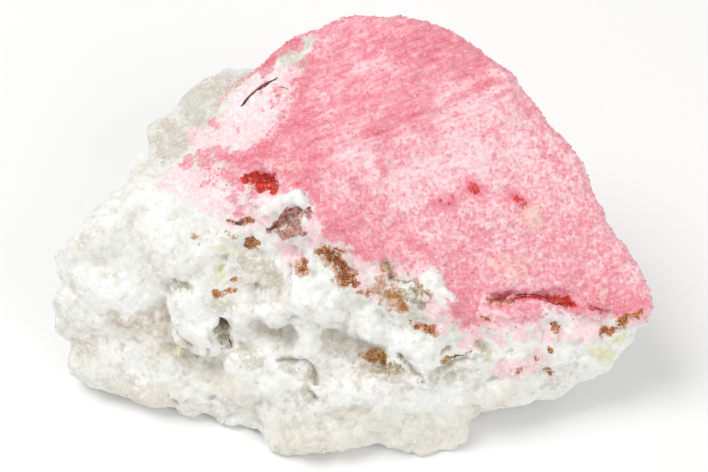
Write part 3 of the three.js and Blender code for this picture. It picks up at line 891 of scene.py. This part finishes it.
    # each grain broke along a face of its own, which catches the light
    relief = addNode(tree, "Bump", links={"Height": patterns["ragged"]}, Strength=rock["relief"],
                     Distance=rock["reliefHeight"] * mm).outputs[0]
    lean = addNode(tree, "VectorMath", {"operation": "SUBTRACT"}, {0: cells["grains"], 1: (0.5, 0.5, 0.5)})
    lean = addNode(tree, "VectorMath", {"operation": "SCALE"}, {0: lean.outputs[0]}, Scale=rock["sparkle"])
    facing = addNode(tree, "VectorMath", {"operation": "ADD"}, {0: lean.outputs[0], 1: relief})
    facing = addNode(tree, "VectorMath", {"operation": "NORMALIZE"}, {0: facing.outputs[0]}).outputs[0]
    clearest, dullest = rock["roughness"]
    gloss = addNode(tree, "MapRange", links={"Value": patterns["grains"]}, To_Min=clearest,
                    To_Max=dullest).outputs[0]
    shader = addNode(tree, "BsdfPrincipled",
                     links={"Base Color": colour, "Roughness": gloss, "Normal": facing},
                     IOR=rock["bending"], Subsurface_Weight=rock["glow"],
                     Subsurface_Scale=rock["glowReach"] * mm, Subsurface_Radius=rock["glowColours"])
    addNode(tree, "OutputMaterial", links={"Surface": shader.outputs[0]})
    return material


def addStonePiece(name, mesh, material):
    mesh.materials.clear()
    mesh.materials.append(material)
    piece = addPiece(name, mesh)
    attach(piece, "root")
    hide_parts("thulite_specimen")


stoneMesh.shade_smooth()
addStonePiece("stone", stoneMesh, rockMaterial())

# Grains that stand out of the broken surface, each a small block with uneven corners, sunk in it

grains = {
    "kinds": {  # how many, their size in mm, their length for their width, their colour and roughness
        "thulite_grains": dict(count=3000, size=(0.1, 0.17), long=1.5, colour="#F49CAB", roughness=0.35),
        "pale_thulite_grains": dict(count=500, size=(0.08, 0.15), long=1.4, colour="#FBC6CE", roughness=0.3),
        "quartz_grains": dict(count=1300, size=(0.08, 0.16), long=1.2, colour="#F8F7F2", roughness=0.25),
        "rust_grains": dict(count=420, size=(0.08, 0.15), long=1.0, colour="#D58A3A", roughness=0.45),
        "dark_rust_grains": dict(count=320, size=(0.08, 0.15), long=1.0, colour="#7C3E16", roughness=0.6),
        "red_grains": dict(count=60, size=(0.1, 0.18), long=1.1, colour="#E8402A", roughness=0.25),
    },
    "bending": 1.6,         # their IOR
    "seed": 31,             # another one for each kind, counted up from here
    "sunk": 0.7,            # share of a grain that is inside the stone
    "thick": 0.8,           # its thickness for its width
    "uneven": 0.16,         # how far its corners are off, in widths
    "lowest": 0.02,         # mm above the floor, for its corners
    "above": 0.4,           # mm above the floor, for its place
    "least": 0.05,          # the weight that a place must have to be counted
    # strengths of the marks over which a kind of grain sets in, or the clean ones end
    "clean": (0.2, 0.6), "rust": (0.4, 0.8), "darkRust": (0.6, 0.9), "brown": (0.5, 0.8), "red": (0.45, 0.7),
    "foot": (-0.5, 0.5),    # mm about the crust's foot, where its grains give way to the quartz's
    "hollow": (0.02, 0.25),                 # mm: the depths over which the quartz's grains thin out
    "hollowLoss": 0.8, "dullLoss": 0.7,     # share that is missing in hollows, and in dull quartz
    "pink": 1.2, "palePink": 0.35,          # how many there are of the crust's two kinds
    "blush": 0.5, "blushPink": 0.3,         # the blush from which there are pale ones, and how many
    "brownShare": 0.5,                      # how many of the dark ones lie on brown
}


def grainWeights():
    quartz = 1 - smoothStep(*grains["foot"], fields["crust"] - stone["bareDepth"] * fields["bare"])
    stained = np.maximum.reduce([fields[name] for name in ("rust", "red", "brown", "mauve")])
    clean = 1 - smoothStep(*grains["clean"], stained)
    dull = np.maximum(fields["grey"], fields["beige"])
    hollow = smoothStep(*grains["hollow"], fields["hollow"])
    blush = grains["blushPink"] * (fields["blush"] > grains["blush"])
    brown = grains["brownShare"] * smoothStep(*grains["brown"], fields["brown"])
    return {
        "thulite_grains": (1 - quartz) * clean * (grains["pink"] - fields["pale"]),
        "pale_thulite_grains": (1 - quartz) * clean * (grains["palePink"] + fields["pale"]) + blush * clean,
        "quartz_grains": (quartz * clean * (1 - grains["hollowLoss"] * hollow)
                          * (1 - grains["dullLoss"] * dull)),
        "rust_grains": smoothStep(*grains["rust"], fields["rust"]),
        "dark_rust_grains": smoothStep(*grains["darkRust"], fields["rust"]) + brown,
        "red_grains": smoothStep(*grains["red"], fields["red"]),
    }


def blockMesh(name, centres, sizes, longer, chance):
    # closed blocks of 12 triangles with uneven corners, each turned its own way
    count = len(centres)
    corners = np.array([(x, y, z) for x in (-0.5, 0.5) for y in (-0.5, 0.5) for z in (-0.5, 0.5)])
    sides = [(0, 1, 3, 2), (4, 6, 7, 5), (0, 4, 5, 1), (2, 3, 7, 6), (0, 2, 6, 4), (1, 5, 7, 3)]
    faces = np.array([(a, b, c) for a, b, c, d in sides] + [(a, c, d) for a, b, c, d in sides])
    uneven = grains["uneven"]
    shapes = corners[None] * np.array([longer, 1, grains["thick"]])
    shapes = shapes + chance.uniform(-uneven, uneven, (count, len(corners), 3))
    shapes *= sizes[:, None, None]
    turns = chance.normal(size=(count, 4))
    turns /= np.linalg.norm(turns, axis=1)[:, None]
    w, x, y, z = turns.T
    matrices = np.stack([
        1 - 2 * (y * y + z * z), 2 * (x * y - z * w), 2 * (x * z + y * w),
        2 * (x * y + z * w), 1 - 2 * (x * x + z * z), 2 * (y * z - x * w),
        2 * (x * z - y * w), 2 * (y * z + x * w), 1 - 2 * (x * x + y * y)], 1).reshape(-1, 3, 3)
    points = np.einsum("nij,nkj->nki", matrices, shapes) + centres[:, None]
    points[:, :, 2] = np.maximum(points[:, :, 2], grains["lowest"])
    mesh = bpy.data.meshes.new(name)
    indices = (faces[None] + len(corners) * np.arange(count)[:, None, None]).reshape(-1, 3)
    mesh.from_pydata((points.reshape(-1, 3) * mm).tolist(), [], indices.tolist())
    return mesh


def grainMaterial(name, values):
    # a clean broken grain: clear faces that flash when they turn to the light
    material = newMaterial("broken_" + name)
    tree = material.node_tree
    shader = addNode(tree, "BsdfPrincipled", Base_Color=linear(values["colour"]),
                     Roughness=values["roughness"], IOR=grains["bending"])
    addNode(tree, "OutputMaterial", links={"Surface": shader.outputs[0]})
    return material


def makeGrains():
    points, normals = meshPoints(stoneMesh) / mm, meshNormals(stoneMesh)
    weights = grainWeights()
    for order, (name, values) in enumerate(grains["kinds"].items()):
        chance = np.random.default_rng(grains["seed"] + order)
        weight = np.where(points[:, 2] > grains["above"], weights[name], 0)
        count = min(values["count"], int((weight > grains["least"]).sum()))
        chosen = chance.choice(len(points), count, replace=False, p=weight / weight.sum())
        sizes = chance.uniform(*values["size"], count)
        centres = points[chosen] + normals[chosen] * (sizes * (0.5 - grains["sunk"]))[:, None]
        mesh = blockMesh(name, centres, sizes, values["long"], chance)
        addStonePiece(name, mesh, grainMaterial(name, values))
        print(name, count)


makeGrains()

# Dark seams in the cracks, rods too narrow for the surface mesh; one of them is a painted shadow along a
# crevice

seams = {
    "sunk": 0.35,      # share of its radius that a seam's middle lies below the surface
    "flat": 0.7,       # its height as a share of its width
    "steps": 36, "around": 7,               # points along a seam, and around it
    "taper": 0.35,                          # the lower, the blunter its ends
    "wanderSize": 0.7, "aside": 0.1,        # mm: how long its bends are, and how wide
    "uneven": 0.9,                          # how much its width changes
    "shades": ("#3E2620", "#8A5238"),       # brown-black, and rusty
    "shadeAt": (0.4, 0.65),                 # where in the pattern each begins
    "patchSize": 0.6,                       # mm
    "roughness": 0.8,
    "paths": [         # radius in mm, path in pixels of the photograph
        (0.15, [(235, 116), (243, 104), (249, 97), (258, 89), (268, 83), (276, 79), (285, 73), (290, 69)]),
        (0.06, [(279, 87), (285, 88), (289, 90)]), (0.07, [(226, 334), (229, 340), (232, 347)]),
        # the second seam on the next line lies along the crevice at the pink tip, a dark rod where the
        # crevice is in shadow under its ledge: a painted shadow
        (0.06, [(556, 301), (563, 304), (566, 309)]), (0.05, [(512, 295), (530, 294), (549, 297)]),
        (0.05, [(446, 357), (457, 356), (469, 352)]),
    ],
}


def seamMesh(tree):
    points, faces = [], []
    steps, around = seams["steps"], seams["around"]
    for radius, pixels in seams["paths"]:
        shares = np.linspace(0, len(pixels) - 1, steps)
        across, down = (np.interp(shares, range(len(pixels)), numbers) for numbers in zip(*pixels))
        hits = [tree.ray_cast(viewEye, sightLine(pixel)) for pixel in zip(across, down)]
        middle = np.array([hit[0] for hit in hits])
        middle[1:-1] = (middle[:-2] + middle[1:-1] + middle[2:]) / 3
        normal = Vector(np.mean([hit[1] for hit in hits], axis=0)).normalized()
        first = len(points)
        for i in range(steps):
            place = Vector(middle[i])
            along = Vector(middle[min(i + 1, steps - 1)] - middle[max(i - 1, 0)]).normalized()
            side = along.cross(normal).normalized()
            wander = noise.noise(place / (seams["wanderSize"] * mm))
            taper = math.sin(math.pi * (i + 0.5) / steps) ** seams["taper"]
            width = radius * mm * taper * (1 + seams["uneven"] * wander)
            centre = place - normal * radius * mm * seams["sunk"] + side * wander * seams["aside"] * mm
            for turn in range(around):
                angle = 2 * math.pi * turn / around
                rise = normal * width * seams["flat"] * math.sin(angle)
                points.append(centre + side * width * math.cos(angle) + rise)
        for i in range(steps - 1):
            for turn in range(around):
                a, b = first + i * around + turn, first + i * around + (turn + 1) % around
                faces.append((a, b, b + around, a + around))
        faces.append([first + turn for turn in reversed(range(around))])
        faces.append([first + (steps - 1) * around + turn for turn in range(around)])
    mesh = bpy.data.meshes.new("iron_seams_and_shadow_line")
    mesh.from_pydata(points, [], faces)
    return mesh


def seamMaterial():
    # iron and manganese oxide that settled in the cracks: dull, brown-black, rustier in places; on one seam
    # the same dark colour is a painted shadow of a crevice
    material = newMaterial("iron_oxide_and_painted_shadow_in_cracks")
    tree = material.node_tree
    place = addNode(tree, "TexCoord").outputs["Object"]
    patches = addNode(tree, "TexNoise", links={"Vector": place}, Scale=1 / (seams["patchSize"] * mm),
                      Detail=3)
    shades = addNode(tree, "ValToRGB", links={"Fac": patches.outputs["Fac"]})
    for step, position, colour in zip(shades.color_ramp.elements, seams["shadeAt"], seams["shades"]):
        step.position, step.color = position, linear(colour)
    shader = addNode(tree, "BsdfPrincipled", links={"Base Color": shades.outputs[0]},
                     Roughness=seams["roughness"])
    addNode(tree, "OutputMaterial", links={"Surface": shader.outputs[0]})
    return material


addStonePiece("iron_seams_and_shadow_line", seamMesh(surfaceTree(stoneMesh)), seamMaterial())

# A plain pale floor and soft studio light

studio = {
    "floorSide": 1200,        # mm
    "floorColour": "#F6F6F5", "floorRoughness": 0.8,
    "skyStrength": 0.56,
    "mainLight": {"place": (-170, 0, 330), "side": 200, "power": 0.7},
    "fillLight": {"place": (230, -240, 220), "side": 260, "power": 0.4},
}


def makeFloor():
    half = studio["floorSide"] / 2 * mm
    corners = [(-half, -half, 0), (half, -half, 0), (half, half, 0), (-half, half, 0)]
    mesh = bpy.data.meshes.new("floor")
    mesh.from_pydata(corners, [], [(0, 1, 2, 3)])
    floor = addPiece("floor", mesh)
    material = newMaterial("matte_board")
    tree = material.node_tree
    shader = addNode(tree, "BsdfPrincipled", Base_Color=linear(studio["floorColour"]),
                     Roughness=studio["floorRoughness"])
    addNode(tree, "OutputMaterial", links={"Surface": shader.outputs[0]})
    mesh.materials.append(material)


def makeLight(name):
    values = studio[name]
    lamp = bpy.data.lights.new(name, "AREA")
    lamp.size = values["side"] * mm
    lamp.energy = values["power"]
    light = bpy.data.objects.new(name, lamp)
    light.location = Vector(values["place"]) * mm
    light.rotation_mode = "QUATERNION"
    light.rotation_quaternion = (light.location - viewTarget).to_track_quat("Z", "Y")
    bpy.context.scene.collection.objects.link(light)


def makeSky():
    world = bpy.data.worlds.new("studio")
    world.use_nodes = True
    world.node_tree.nodes["Background"].inputs["Strength"].default_value = studio["skyStrength"]
    world.node_tree.nodes["Background"].inputs["Color"].default_value = (1, 1, 1, 1)
    bpy.context.scene.world = world
    bpy.context.scene.view_settings.view_transform = "Standard"


makeFloor()
makeSky()
for name in ("mainLight", "fillLight"):
    makeLight(name)
